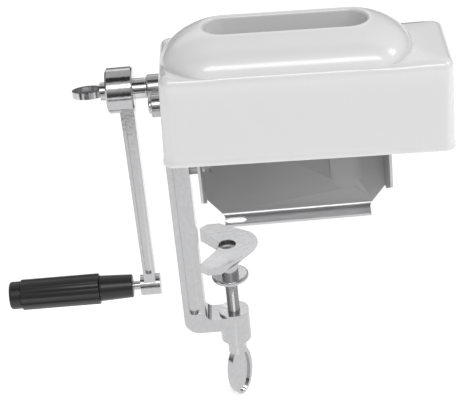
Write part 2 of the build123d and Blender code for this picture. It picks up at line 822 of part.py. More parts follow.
with BuildPart() as clamp_washers:
    for height in bolt_heights:
        with BuildSketch(Plane(origin=(-wall_inner, 0, height), x_dir=(0, 1, 0), z_dir=(1, 0, 0))):
            Circle(bolt_dia)
            Circle(bolt_dia / 2 + running_gap, mode=Mode.SUBTRACT)
        extrude(amount=bolt_washer)
save(clamp_washers, "clamp_washers")

with BuildPart() as clamp_nuts:
    for height in bolt_heights:
        with BuildSketch(Plane(origin=(arm_inner, 0, height), x_dir=(0, 1, 0), z_dir=(1, 0, 0))):
            RegularPolygon(bolt_across / 2, 6, major_radius=False)
            Circle(bolt_dia / 2 + running_gap, mode=Mode.SUBTRACT)
        extrude(amount=-wall_outer - arm_inner)
save(clamp_nuts, "clamp_nuts")

# ---- clamp shoe, disc, screw and wing ----
with BuildPart() as clamp_shoe:
    for height, half_span, nose_x in (
        (shoe_top, shoe_half_span, shoe_nose_x),
        (shoe_top - shoe_thick, shoe_foot_span, shoe_foot_nose_x),
    ):
        nose_start_x = nose_x - shoe_bevel
        with BuildSketch(Plane.XY.offset(height)):
            with BuildLine():
                Polyline(
                    (shoe_vertex_x, 0),
                    (shoe_tip_x, half_span - shoe_bevel),
                    (shoe_tip_x + shoe_bevel, half_span),
                    (screw_x - shoe_bevel, half_span),
                    (nose_start_x, half_span / 2),
                )
                ThreePointArc((nose_start_x, half_span / 2), (nose_x, 0), (nose_start_x, -half_span / 2))
                Polyline(
                    (nose_start_x, -half_span / 2),
                    (screw_x - shoe_bevel, -half_span),
                    (shoe_tip_x + shoe_bevel, -half_span),
                    (shoe_tip_x, -half_span + shoe_bevel),
                    (shoe_vertex_x, 0),
                )
            make_face()
    loft(ruled=True)
    with BuildSketch(Plane.XY.offset(shoe_hub_bottom)):
        with Locations((screw_x, 0)):
            Circle(shoe_neck / 2)
    extrude(amount=shoe_top - shoe_thick - shoe_hub_bottom)
    with BuildSketch(Plane.XY.offset(shoe_hub_bottom)):
        with Locations((screw_x, 0)):
            Circle(clamp_neck_dia / 2 + running_gap)
    extrude(amount=shoe_top - shoe_hub_bottom, mode=Mode.SUBTRACT)
    with BuildSketch(Plane.XY.offset(shoe_top)):
        with Locations((screw_x, 0)):
            Circle(rivet_head_dia / 2 + running_gap)
    extrude(amount=-rivet_sink - rivet_head_thick - side_gap, mode=Mode.SUBTRACT)
save(clamp_shoe, "clamp_shoe")

disc_bottom = shoe_hub_bottom - swivel_thick
with BuildPart() as swivel_disc:
    with BuildSketch(Plane.XY.offset(disc_bottom)):
        with Locations((screw_x, 0)):
            Circle(swivel_dia / 2)
            Circle(clamp_neck_dia / 2 + running_gap, mode=Mode.SUBTRACT)
    extrude(amount=swivel_thick)
    chamfer(swivel_disc.edges().filter_by(GeomType.CIRCLE).sort_by(SortBy.LENGTH)[-2:], 1)
save(swivel_disc, "swivel_disc")

shoulder_z = disc_bottom - side_gap
with BuildPart() as clamp_screw:
    with BuildSketch(Plane.XY.offset(wing_top - 1)):
        with Locations((screw_x, 0)):
            Circle(clamp_screw_dia / 2)
    extrude(amount=shoulder_z - wing_top + 1)
    with BuildSketch(Plane.XY.offset(shoulder_z)):
        with Locations((screw_x, 0)):
            Circle(clamp_neck_dia / 2)
    extrude(amount=shoe_top - rivet_sink - shoulder_z)
    with BuildSketch(Plane.XY.offset(shoe_top - rivet_sink - rivet_head_thick)):
        with Locations((screw_x, 0)):
            Circle(rivet_head_dia / 2)
    extrude(amount=rivet_head_thick)
    with BuildSketch(wing_pin_plane):
        Circle(wing_pin_dia / 2 + running_gap)
    extrude(amount=wing_hub_dia / 2, both=True, mode=Mode.SUBTRACT)
save(clamp_screw, "clamp_screw")

with BuildPart() as screw_collar:
    with BuildSketch(Plane.XY.offset(shoulder_z)):
        with Locations((screw_x, 0)):
            Circle(collar_dia / 2)
            Circle(clamp_screw_dia / 2 + running_gap, mode=Mode.SUBTRACT)
    extrude(amount=-collar_thick)
save(screw_collar, "screw_collar")

wing_turn = math.radians(wing_angle)
clamp_leaf = wingLeaf(
    (screw_x, 0, wing_top),
    (0, 0, -1),
    (math.sin(wing_turn), -math.cos(wing_turn), 0),
    wing_top - wing_bottom,
    wing_width,
    wing_thick,
    wing_rim,
)
with BuildPart() as clamp_wing:
    with BuildSketch(Plane.XY.offset(wing_top - wing_hub_foot)):
        with Locations((screw_x, 0)):
            Circle(wing_hub_dia / 2)
    extrude(amount=wing_hub_top - wing_top + wing_hub_foot)
    add(clamp_leaf)
    with BuildSketch(Plane.XY.offset(wing_top - 1)):
        with Locations((screw_x, 0)):
            Circle(clamp_screw_dia / 2 + running_gap)
    extrude(amount=wing_hub_top - wing_top + 1, mode=Mode.SUBTRACT)
    with BuildSketch(wing_pin_plane):
        Circle(wing_pin_dia / 2 + running_gap)
    extrude(amount=wing_hub_dia, both=True, mode=Mode.SUBTRACT)
save(clamp_wing, "clamp_wing")

with BuildPart() as wing_pin:
    with BuildSketch(wing_pin_plane):
        Circle(wing_pin_dia / 2)
    extrude(amount=wing_hub_dia / 2, both=True)
save(wing_pin, "wing_pin")
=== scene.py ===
import json
import math

import bmesh
import bpy
from mathutils import Matrix, Vector


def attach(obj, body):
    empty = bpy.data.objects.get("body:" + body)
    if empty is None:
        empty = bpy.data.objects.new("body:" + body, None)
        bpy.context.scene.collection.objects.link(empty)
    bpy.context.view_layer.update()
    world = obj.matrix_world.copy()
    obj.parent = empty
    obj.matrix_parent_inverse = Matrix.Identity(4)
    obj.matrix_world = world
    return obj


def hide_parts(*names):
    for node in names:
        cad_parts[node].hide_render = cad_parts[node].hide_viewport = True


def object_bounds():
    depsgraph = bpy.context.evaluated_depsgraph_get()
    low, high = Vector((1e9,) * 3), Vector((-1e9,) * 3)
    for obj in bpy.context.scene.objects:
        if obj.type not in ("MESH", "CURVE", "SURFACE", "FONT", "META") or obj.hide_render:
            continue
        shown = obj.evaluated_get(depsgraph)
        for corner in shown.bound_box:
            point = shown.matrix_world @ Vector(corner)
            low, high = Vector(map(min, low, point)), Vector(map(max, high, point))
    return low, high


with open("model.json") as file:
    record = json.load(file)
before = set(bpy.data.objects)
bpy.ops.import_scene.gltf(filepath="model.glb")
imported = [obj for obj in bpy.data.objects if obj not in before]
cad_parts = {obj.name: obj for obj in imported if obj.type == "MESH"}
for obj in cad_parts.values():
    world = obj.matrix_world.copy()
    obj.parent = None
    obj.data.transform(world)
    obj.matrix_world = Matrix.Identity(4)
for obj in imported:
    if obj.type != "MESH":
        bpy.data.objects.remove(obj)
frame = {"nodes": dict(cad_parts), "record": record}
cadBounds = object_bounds()
mm = 0.001
record = frame["record"]
nodeBody = {node: body for body, nodes in record["behaviour"]["bodies"].items() for node in nodes}
print("frame loaded,", len(frame["nodes"]), "nodes")

# where the camera stands and looks, in m, its roll in degrees and its lens in mm
cameraPlace = {
    "location": (-0.011825, -1.114624, 0.652326),
    "target": (-0.050361, -0.008, 0.024292),
    "roll": -5.809,
    "lens": 126.85,
    "sensor": 36.0,
}


def lookTurn(place, aim):
    return (Vector(aim) - Vector(place)).to_track_quat("-Z", "Y").to_euler()


cameraData = bpy.data.cameras.new("studioCamera")
cameraData.lens = cameraPlace["lens"]
cameraData.sensor_width = cameraPlace["sensor"]
cameraData.clip_start = 0.05
cameraData.clip_end = 60
cameraObject = bpy.data.objects.new("studioCamera", cameraData)
bpy.context.scene.collection.objects.link(cameraObject)
aimed = lookTurn(cameraPlace["location"], cameraPlace["target"]).to_matrix()
rolled = aimed @ Matrix.Rotation(math.radians(cameraPlace["roll"]), 3, "Z")
cameraObject.matrix_world = Matrix.Translation(cameraPlace["location"]) @ rolled.to_4x4()
bpy.context.scene.camera = cameraObject


def joinNodes(tree, start, end):
    tree.links.new(start, end)


def addNode(tree, kind, **values):
    # values set plain properties, the rest is linked by the caller
    node = tree.nodes.new(kind)
    for name, value in values.items():
        setattr(node, name, value)
    return node


def mathStep(tree, operation, first, second=0.0):
    node = addNode(tree, "ShaderNodeMath", operation=operation)
    for socket, value in zip(node.inputs, (first, second)):
        if isinstance(value, (int, float)):
            socket.default_value = value
        else:
            joinNodes(tree, value, socket)
    return node.outputs[0]


# floor, sky, lights and cards of the studio, in m and W
studio = {
    "floorDrop": 0.002,
    "floorSpan": 24.0,
    "floorColour": (0.90, 0.90, 0.90, 1),
    "floorRough": 0.7,
    "floorGlow": 0.45,
    "skyLow": 0.05,
    "skyHigh": 0.55,
    "skyFrom": 0.10,
    "skyTo": 0.42,
    "lights": (
        # name, place, aim, size, watts
        ("highFront", (0.15, -1.25, 1.35), (0, 0, 0.05), (1.0, 0.45), 7.5),
        ("rightStrip", (0.95, -0.10, 0.95), (0.05, 0, 0.1), (0.14, 0.24), 4.0),
        ("backBox", (-0.30, 1.20, 0.90), (0, 0, 0.1), (1.2, 0.4), 0.9),
    ),
    "cards": (
        # dark and grey cards that give the bright metal its bands: name, place, aim, size, tone
        ("overCard", (0.0, -0.15, 0.95), (0, 0, 0.05), (1.1, 0.40), 0.02),
        ("leftCard", (-0.75, -0.55, 0.05), (-0.05, 0, 0.05), (0.25, 0.9), 0.03),
        ("rightCard", (0.75, -0.75, 0.20), (0.0, 0, 0.05), (0.16, 0.9), 0.03),
        ("wallCardLeft", (-0.42, -1.45, -0.02), (-0.42, 0, -0.02), (0.80, 0.28), 0.03),
        ("wallCardRight", (0.42, -1.45, -0.02), (0.42, 0, -0.02), (0.80, 0.28), 0.38),
        ("floorCard", (0.0, -0.35, -0.1660), (0.0, -0.35, 1.0), (1.3, 1.2), 0.92),
        ("floorStrip", (-0.10, -0.62, -0.155), (-0.10, -0.62, 1.0), (1.1, 0.22), 0.10),
    ),
}

world = bpy.data.worlds.new("studioWorld")
bpy.context.scene.world = world
world.use_nodes = True
skyTree = world.node_tree
skyTree.nodes.clear()
skyPlace = addNode(skyTree, "ShaderNodeTexCoord")
skySplit = addNode(skyTree, "ShaderNodeSeparateXYZ")
skyRamp = addNode(skyTree, "ShaderNodeValToRGB")
skyRays = addNode(skyTree, "ShaderNodeLightPath")
skyMix = addNode(skyTree, "ShaderNodeMix", data_type="RGBA")
skyShade = addNode(skyTree, "ShaderNodeBackground")
skyOut = addNode(skyTree, "ShaderNodeOutputWorld")
low, high = studio["skyLow"], studio["skyHigh"]
skyRamp.color_ramp.elements[0].position = studio["skyFrom"]
skyRamp.color_ramp.elements[0].color = (low, low, low, 1)
skyRamp.color_ramp.elements[1].position = studio["skyTo"]
skyRamp.color_ramp.elements[1].color = (high, high, high, 1)
skyMix.inputs[7].default_value = (1, 1, 1, 1)
joinNodes(skyTree, skyPlace.outputs["Generated"], skySplit.inputs[0])
joinNodes(skyTree, skySplit.outputs["Z"], skyRamp.inputs[0])
joinNodes(skyTree, skyRays.outputs["Is Camera Ray"], skyMix.inputs[0])
joinNodes(skyTree, skyRamp.outputs[0], skyMix.inputs[6])
joinNodes(skyTree, skyMix.outputs[2], skyShade.inputs[0])
joinNodes(skyTree, skyShade.outputs[0], skyOut.inputs[0])

for name, place, aim, size, watts in studio["lights"]:
    lamp = bpy.data.lights.new(name, "AREA")
    lamp.shape = "RECTANGLE"
    lamp.size, lamp.size_y = size
    lamp.energy = watts
    lampObject = bpy.data.objects.new(name, lamp)
    lampObject.location = place
    lampObject.rotation_euler = lookTurn(place, aim)
    bpy.context.scene.collection.objects.link(lampObject)


def plainMaterial(name, colour, rough, glow=0.0):
    material = bpy.data.materials.new(name)
    material.use_nodes = True
    shade = material.node_tree.nodes["Principled BSDF"]
    shade.inputs["Base Color"].default_value = colour
    shade.inputs["Roughness"].default_value = rough
    shade.inputs["Emission Color"].default_value = (1, 1, 1, 1)
    shade.inputs["Emission Strength"].default_value = glow
    return material


def flatSheet(name, size, material):
    halfX, halfY = size[0] / 2, size[1] / 2
    mesh = bpy.data.meshes.new(name)
    corners = [(-halfX, -halfY, 0), (halfX, -halfY, 0), (halfX, halfY, 0), (-halfX, halfY, 0)]
    mesh.from_pydata(corners, [], [(0, 1, 2, 3)])
    mesh.materials.append(material)
    sheet = bpy.data.objects.new(name, mesh)
    bpy.context.scene.collection.objects.link(sheet)
    return sheet


floorPaint = plainMaterial("floorPaint", studio["floorColour"], studio["floorRough"], studio["floorGlow"])
floor = flatSheet("floor", (studio["floorSpan"],) * 2, floorPaint)
floor.location.z = cadBounds[0][2] - studio["floorDrop"]
for name, place, aim, size, tone in studio["cards"]:
    cardPaint = plainMaterial(name + "Paint", (0, 0, 0, 1), 1.0, tone)
    cardPaint.node_tree.nodes["Principled BSDF"].inputs["Specular IOR Level"].default_value = 0.0
    card = flatSheet(name, size, cardPaint)
    card.location = place
    card.rotation_euler = lookTurn(place, aim)
    card.visible_camera = False
    card.visible_shadow = False
    card.visible_diffuse = False
bpy.context.scene.view_settings.view_transform = "Standard"
print("camera, floor and lights ready")


# shader groups that several finishes share
def newGroup(name, inputs, outputs):
    group = bpy.data.node_groups.new(name, "ShaderNodeTree")
    for label, kind, value in inputs:
        socket = group.interface.new_socket(label, in_out="INPUT", socket_type=kind)
        socket.default_value = value
    for label, kind in outputs:
        group.interface.new_socket(label, in_out="OUTPUT", socket_type=kind)
    entry = addNode(group, "NodeGroupInput")
    leave = addNode(group, "NodeGroupOutput")
    return group, entry, leave


def buildGrainGroup():
    # pebbled surface of a casting or a moulding: a height and a lighter or darker fleck
    group, entry, leave = newGroup(
        "surfaceGrain",
        (
            ("Place", "NodeSocketVector", (0, 0, 0)),
            ("Scale", "NodeSocketFloat", 400.0),
            ("Fleck", "NodeSocketFloat", 0.1),
        ),
        (("Height", "NodeSocketFloat"), ("Tone", "NodeSocketFloat")),
    )
    broad = addNode(group, "ShaderNodeTexNoise")
    broad.inputs["Detail"].default_value = 4.0
    cells = addNode(group, "ShaderNodeTexVoronoi", feature="SMOOTH_F1")
    cells.inputs["Smoothness"].default_value = 0.6
    for texture in (broad, cells):
        joinNodes(group, entry.outputs["Place"], texture.inputs["Vector"])
        joinNodes(group, entry.outputs["Scale"], texture.inputs["Scale"])
    broadPart = mathStep(group, "MULTIPLY", broad.outputs["Fac"], 0.6)
    cellPart = mathStep(group, "MULTIPLY", cells.outputs["Distance"], 0.7)
    mixed = mathStep(group, "ADD", broadPart, cellPart)
    joinNodes(group, mixed, leave.inputs["Height"])
    centred = mathStep(group, "SUBTRACT", broad.outputs["Fac"], 0.5)
    swing = mathStep(group, "MULTIPLY", centred, entry.outputs["Fleck"])
    joinNodes(group, mathStep(group, "ADD", swing, 1.0), leave.inputs["Tone"])
    return group


def buildWearGroup():
    # edges rubbed a little lighter than the faces, with a mask of where they are rubbed
    group, entry, leave = newGroup(
        "rubbedEdges",
        (
            ("Colour", "NodeSocketColor", (0.5, 0.5, 0.5, 1)),
            ("Worn", "NodeSocketColor", (0.8, 0.8, 0.8, 1)),
            ("Amount", "NodeSocketFloat", 0.5),
            ("Tone", "NodeSocketFloat", 1.0),
        ),
        (("Colour", "NodeSocketColor"), ("Mask", "NodeSocketFloat")),
    )
    shape = addNode(group, "ShaderNodeNewGeometry")
    edge = addNode(group, "ShaderNodeMapRange")
    edge.inputs["From Min"].default_value = 0.53
    edge.inputs["From Max"].default_value = 0.62
    joinNodes(group, shape.outputs["Pointiness"], edge.inputs["Value"])
    mask = mathStep(group, "MULTIPLY", edge.outputs[0], entry.outputs["Amount"])
    blend = addNode(group, "ShaderNodeMix", data_type="RGBA")
    joinNodes(group, mask, blend.inputs[0])
    joinNodes(group, entry.outputs["Colour"], blend.inputs[6])
    joinNodes(group, entry.outputs["Worn"], blend.inputs[7])
    tone = addNode(group, "ShaderNodeVectorMath", operation="SCALE")
    joinNodes(group, blend.outputs[2], tone.inputs[0])
    joinNodes(group, entry.outputs["Tone"], tone.inputs["Scale"])
    joinNodes(group, tone.outputs[0], leave.inputs["Colour"])
    joinNodes(group, mask, leave.inputs["Mask"])
    return group


def buildHandlingGroup():
    # large soft patches of handling that change the gloss
    group, entry, leave = newGroup(
        "handling",
        (
            ("Place", "NodeSocketVector", (0, 0, 0)),
            ("Rough", "NodeSocketFloat", 0.3),
            ("Swing", "NodeSocketFloat", 0.1),
        ),
        (("Rough", "NodeSocketFloat"),),
    )
    patches = addNode(group, "ShaderNodeTexNoise")
    patches.inputs["Scale"].default_value = 22.0
    patches.inputs["Detail"].default_value = 5.0
    joinNodes(group, entry.outputs["Place"], patches.inputs["Vector"])
    centred = mathStep(group, "SUBTRACT", patches.outputs["Fac"], 0.5)
    swing = mathStep(group, "MULTIPLY", centred, entry.outputs["Swing"])
    joinNodes(group, mathStep(group, "ADD", swing, entry.outputs["Rough"]), leave.inputs["Rough"])
    return group


grainGroup, wearGroup, handlingGroup = buildGrainGroup(), buildWearGroup(), buildHandlingGroup()

coatRough = 0.12  # gloss of the clear coat on the plastics

# colours, gloss and grain of each finish; scale is per metre and depth in mm
finishes = {
    "white_plastic": {
        "colour": (0.80, 0.80, 0.80), "worn": (0.86, 0.86, 0.86), "wear": 0.3,
        "metal": 0.0, "rough": 0.24, "swing": 0.06, "scale": 1400, "stretch": (1, 1, 1),
        "bump": 0.03, "depth": 0.05, "fleck": 0.03, "coat": 0.6,
    },
    "black_plastic": {
        "colour": (0.018, 0.018, 0.019), "worn": (0.05, 0.05, 0.05), "wear": 0.5,
        "metal": 0.0, "rough": 0.33, "swing": 0.12, "scale": 1600, "stretch": (1, 1, 1),
        "bump": 0.10, "depth": 0.08, "fleck": 0.2, "coat": 0.1,
    },
    "sheet_steel": {
        "colour": (0.62, 0.62, 0.63), "worn": (0.85, 0.85, 0.85), "wear": 0.6,
        "metal": 1.0, "rough": 0.34, "swing": 0.08, "scale": 900, "stretch": (0.04, 1, 1),
        "bump": 0.05, "depth": 0.05, "fleck": 0.10, "coat": 0.0,
    },
    "cast_zinc": {
        "colour": (0.60, 0.60, 0.61), "worn": (0.82, 0.82, 0.82), "wear": 0.7,
        "metal": 1.0, "rough": 0.17, "swing": 0.14, "scale": 330, "stretch": (1, 1, 1),
        "bump": 0.20, "depth": 0.25, "fleck": 0.18, "coat": 0.0,
    },
    "blade_steel": {
        "colour": (0.70, 0.71, 0.72), "worn": (0.90, 0.90, 0.90), "wear": 0.8,
        "metal": 1.0, "rough": 0.26, "swing": 0.10, "scale": 1100, "stretch": (1, 0.15, 1),
        "bump": 0.05, "depth": 0.05, "fleck": 0.12, "coat": 0.0,
    },
    "white_nylon": {
        "colour": (0.74, 0.74, 0.71), "worn": (0.80, 0.80, 0.78), "wear": 0.3,
        "metal": 0.0, "rough": 0.42, "swing": 0.10, "scale": 1300, "stretch": (1, 1, 1),
        "bump": 0.06, "depth": 0.06, "fleck": 0.06, "coat": 0.0,
    },
    "turned_steel": {
        "colour": (0.54, 0.54, 0.54), "worn": (0.90, 0.90, 0.90), "wear": 0.6,
        "metal": 1.0, "rough": 0.22, "swing": 0.10, "scale": 1500, "stretch": (1, 0.1, 0.1),
        "bump": 0.06, "depth": 0.05, "fleck": 0.12, "coat": 0.0,
    },
}


def makeFinish(name, look):
    material = bpy.data.materials.new(name)
    material.use_nodes = True
    tree = material.node_tree
    shade = tree.nodes["Principled BSDF"]
    place = addNode(tree, "ShaderNodeTexCoord")
    stretch = addNode(tree, "ShaderNodeMapping")
    stretch.inputs["Scale"].default_value = look["stretch"]
    joinNodes(tree, place.outputs["Object"], stretch.inputs["Vector"])
    grain = addNode(tree, "ShaderNodeGroup", node_tree=grainGroup)
    grain.inputs["Scale"].default_value = look["scale"]
    grain.inputs["Fleck"].default_value = look["fleck"]
    joinNodes(tree, stretch.outputs[0], grain.inputs["Place"])
    wear = addNode(tree, "ShaderNodeGroup", node_tree=wearGroup)
    wear.inputs["Colour"].default_value = (*look["colour"], 1)
    wear.inputs["Worn"].default_value = (*look["worn"], 1)
    wear.inputs["Amount"].default_value = look["wear"]
    joinNodes(tree, grain.outputs["Tone"], wear.inputs["Tone"])
    touch = addNode(tree, "ShaderNodeGroup", node_tree=handlingGroup)
    touch.inputs["Rough"].default_value = look["rough"]
    touch.inputs["Swing"].default_value = look["swing"]
    joinNodes(tree, place.outputs["Object"], touch.inputs["Place"])
    bump = addNode(tree, "ShaderNodeBump")
    bump.inputs["Strength"].default_value = look["bump"]
    bump.inputs["Distance"].default_value = look["depth"] * mm
    joinNodes(tree, grain.outputs["Height"], bump.inputs["Height"])
    joinNodes(tree, wear.outputs["Colour"], shade.inputs["Base Color"])
    joinNodes(tree, touch.outputs["Rough"], shade.inputs["Roughness"])
    joinNodes(tree, bump.outputs["Normal"], shade.inputs["Normal"])
    shade.inputs["Metallic"].default_value = look["metal"]
    shade.inputs["Coat Weight"].default_value = look["coat"]
    shade.inputs["Coat Roughness"].default_value = coatRough
    return material


finish = {name: makeFinish(name, look) for name, look in finishes.items()}
print("finishes ready:", len(finish))


def addPiece(name, mesh, nodes):
    piece = bpy.data.objects.new(name, mesh)
    bpy.context.scene.collection.objects.link(piece)
    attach(piece, nodeBody[nodes[0]])
    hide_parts(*nodes)
    return piece


def plainMesh(source, name):
    # the evaluated shape of a working object as a mesh of its own; the working object goes
    bpy.context.view_layer.update()
    seen = source.evaluated_get(bpy.context.evaluated_depsgraph_get())
    mesh = bpy.data.meshes.new_from_object(seen)
    mesh.name = name
    source.modifiers.clear()
    bpy.data.objects.remove(source)
    return mesh


def smoothShade(mesh, degrees):
    mesh.polygons.foreach_set("use_smooth", [True] * len(mesh.polygons))
    mesh.set_sharp_from_angle(angle=math.radians(degrees))


# how the CAD shapes are cleaned before their edges are rounded, in mm and degrees
softening = {
    "merge": 0.008,
    "flat": 0.1,
    "sharp": 32,
    "smooth": 38,
    "faceWeight": 90,
}


def mergedNode(nodeName):
    source = frame["nodes"][nodeName]
    work = bmesh.new()
    work.from_mesh(source.data)
    work.transform(source.matrix_world)
    bmesh.ops.remove_doubles(work, verts=work.verts, dist=softening["merge"] * mm)
    return work


def softenedCopy(nodeName, pieceName, slotName, width, segments):
    # the CAD shape again with its loose triangles joined and its edges rounded
    work = mergedNode(nodeName)
    flat = math.radians(softening["flat"])
    bmesh.ops.dissolve_limit(work, angle_limit=flat, verts=work.verts, edges=work.edges)
    mesh = bpy.data.meshes.new(pieceName + "Draft")
    work.to_mesh(mesh)
    work.free()
    draft = bpy.data.objects.new(pieceName + "Draft", mesh)
    bpy.context.scene.collection.objects.link(draft)
    rounding = draft.modifiers.new("rounding", "BEVEL")
    rounding.width = width * mm
    rounding.segments = segments
    rounding.limit_method = "ANGLE"
    rounding.angle_limit = math.radians(softening["sharp"])
    rounding.use_clamp_overlap = True
    rounding.miter_outer = "MITER_ARC"
    rounded = plainMesh(draft, pieceName + "Rounded")
    smoothShade(rounded, softening["smooth"])
    draft = bpy.data.objects.new(pieceName + "Rounded", rounded)
    bpy.context.scene.collection.objects.link(draft)
    facing = draft.modifiers.new("facing", "WEIGHTED_NORMAL")
    facing.mode = "FACE_AREA"
    facing.weight = softening["faceWeight"]
    facing.keep_sharp = True
    mesh = plainMesh(draft, pieceName)
    mesh.materials.clear()
    mesh.materials.append(finish[slotName])
    return addPiece(pieceName, mesh, [nodeName])


# the hood, in mm and degrees, about the middle of its lower edge
hood = {
    "tilt": 1.4,
    "centre": (11.6, -8.0, 76.2),
    "halfLength": 109.0,
    "halfDepth": 41.5,
    "height": 72.0,
    "draft": 1.05,
    "lipFlare": 0.6,
    "corner": 9.0,
    "edgeRound": 6.5,
    "wall": 2.0,
    "roof": 2.7,
    "base": (90.75, 32.9, 31.0, -9.85, -0.35),
    "mouth": (63.1, 18.1, 17.1, -12.1, 10.0),
    "funnelRise": 18.4,
    "rim": 2.6,
    "swell": 0.8,
    "frontTurn": 0.42,
    "throat": 21.0,
    "cornerSteps": 12,
    "longSteps": 40,
    "shortSteps": 14,
    "notches": ((8.0, 11.0), (-24.0, 9.75)),
    "rollerHeight": 119.2,
    "notchFoot": 60.0,
    "notchReach": (-104.0, -88.0),
    "notchSteps": 24,
    "lip": ((0.35, 0.0), (0.0, 0.5), (0.0, 2.6), (0.15, 3.4), (0.45, 4.4)),  # inset, height
    "skirtStart": 6.0,
    "skirtSteps": 8,
    "edgeSteps": 9,
    "edgeEvening": 10,
    "shoulderSteps": 18,
    "shoulderEvening": 16,
    "closeWithin": 2.0,
    "closeFade": 8.0,
    "rimSteps": 6,
    "throatRings": ((4.0, 0.15), (10.0, 0.4), (18.0, 0.8)),  # drop, inset
    "throatTip": 0.6,
    "throatInset": 1.0,
    "throatLip": 0.5,
    "throatOuter": 0.8,
    "throatTop": 2.2,
    "throatTopDrop": 4.0,
    "underShare": (0.955, 0.91),
    "underSteps": 8,
    "innerRound": 4.0,
    "innerRoundSteps": 4,
    "innerDrop": 1.6,
    "innerCornerLoss": 0.5,
    "innerHeights": (50.0, 30.0, 12.0, 4.0, 1.0),
    "innerLip": 0.2,
    "smooth": 42,
}


def hoodRing(halfLength, halfDepth, corner, centreX, centreY, height):
    corner = min(corner, halfLength - 0.2, halfDepth - 0.2)
    innerX, innerY = halfLength - corner, halfDepth - corner
    points = []
    sides = (
        ((halfLength, -innerY), (halfLength, innerY), hood["shortSteps"], (innerX, innerY), 0),
        ((innerX, halfDepth), (-innerX, halfDepth), hood["longSteps"], (-innerX, innerY), 90),
        ((-halfLength, innerY), (-halfLength, -innerY), hood["shortSteps"], (-innerX, -innerY), 180),
        ((-innerX, -halfDepth), (innerX, -halfDepth), hood["longSteps"], (innerX, -innerY), 270),
    )
    for start, end, steps, middle, first in sides:
        for step in range(steps):
            share = step / steps
            points.append(tuple(a + (b - a) * share for a, b in zip(start, end)))
        for step in range(hood["cornerSteps"]):
            angle = math.radians(first + 90 * step / hood["cornerSteps"])
            points.append((middle[0] + corner * math.cos(angle), middle[1] + corner * math.sin(angle)))
    return [(centreX + x, centreY + y, height) for x, y in points]


def skirtRing(inset, height, cornerLoss=1.0):
    corner = hood["corner"] - cornerLoss * inset
    return hoodRing(hood["halfLength"] - inset, hood["halfDepth"] - inset, max(corner, 2.0), 0, 0, height)


def blendRings(first, second, across, climb):
    # from one ring to another, with separate shares in plan and in height
    return [(a[0] + (b[0] - a[0]) * across, a[1] + (b[1] - a[1]) * across, a[2] + (b[2] - a[2]) * climb)
            for a, b in zip(first, second)]


def shoulder(share):
    # the funnel swells out of the roof and rounds over to its rim
    swell = hood["swell"]
    across = (1 - swell) * share + swell * (1 - math.cos(share * math.pi / 2))
    climb = (1 - swell) * share + swell * math.sin(share * math.pi / 2)
    return across, climb


def roofEdgeRing(angle):
    away = hood["edgeRound"] * (1 - math.cos(angle))
    inset = hood["lipFlare"] + hood["draft"] + away
    corner = hood["corner"] - hood["lipFlare"] - hood["draft"] - 0.35 * away
    height = hood["height"] - hood["edgeRound"] * (1 - math.sin(angle))
    return hoodRing(hood["halfLength"] - inset, hood["halfDepth"] - inset, corner, 0, 0, height)


def nearest(point, ring):
    def gap(place):
        return (ring[place][0] - point[0]) ** 2 + (ring[place][1] - point[1]) ** 2

    return min(range(len(ring)), key=gap)


def closeness(point, ring):
    # 1 where the other ring is near in plan, fading to 0
    other = ring[nearest(point, ring)]
    gap = math.hypot(other[0] - point[0], other[1] - point[1])
    weight = max(0.0, min(1.0, 1 - (gap - hood["closeWithin"]) / hood["closeFade"]))
    return weight * weight * (3 - 2 * weight)


def evened(values, rounds):
    # neighbours along a ring averaged, so that the shoulder doesn't ripple
    count = len(values)
    for _ in range(rounds):
        values = [(values[place - 1] + values[place] * 2 + values[(place + 1) % count]) * 0.25
                  for place in range(count)]
    return values


def skirtRings():
    rings = [skirtRing(inset, height) for inset, height in hood["lip"]]
    low, steps = hood["skirtStart"], hood["skirtSteps"]
    skirtTop = hood["height"] - hood["edgeRound"]
    for step in range(steps + 1):
        height = low + (skirtTop - low) * step / steps
        rings.append(skirtRing(hood["lipFlare"] + hood["draft"] * height / hood["height"], height))
    return rings


def roofEdgeRings(base, edge):
    # the roof's edge turns over fully, but where the funnel starts at once it stops part of the way
    near = evened([closeness(point, base) for point in edge], hood["edgeEvening"])
    rings = []
    for step in range(1, hood["edgeSteps"] + 1):
        degrees = 90 * step / hood["edgeSteps"]
        full = roofEdgeRing(math.radians(degrees))
        part = roofEdgeRing(math.radians(degrees * hood["frontTurn"]))
        rings.append([tuple(a + (b - a) * weight for a, b in zip(whole, some))
                      for whole, some, weight in zip(full, part, near)])
    return rings


def funnelFoot(base, edge):
    # where the funnel leaves the roof, drawn out to the turned edge where that edge is near
    partEdge = roofEdgeRing(math.radians(90 * hood["frontTurn"]))
    shifts = []
    for foot in base:
        place = nearest(foot, edge)
        outward = Vector(partEdge[place][:2]) - Vector(edge[place][:2])
        outward.normalize()
        reach = (Vector(partEdge[place][:2]) - Vector(foot[:2])).dot(outward)
        shift = Vector((outward.x * reach, outward.y * reach, partEdge[place][2] - foot[2]))
        shifts.append(shift * closeness(foot, edge))
    evenShifts = evened(shifts, hood["shoulderEvening"])
    return [tuple(Vector(foot) + shift) for foot, shift in zip(base, evenShifts)]


def mouthRing(offset, height):
    # the mouth's outline grown by the offset, or shrunk where it is below 0
    sizes = [size + offset for size in hood["mouth"][:3]]
    return hoodRing(*sizes, *hood["mouth"][3:], height)


def funnelRings(foot):
    top = hood["height"] + hood["funnelRise"]
    rimStart = mouthRing(0.0, top)
    steps = hood["shoulderSteps"]
    rings = [blendRings(foot, rimStart, *shoulder(step / steps)) for step in range(steps + 1)]
    for step in range(1, hood["rimSteps"] + 1):
        angle = math.radians(90 * step / hood["rimSteps"])
        rings.append(mouthRing(-hood["rim"] * math.sin(angle), top - hood["rim"] * (1 - math.cos(angle))))
    return rings


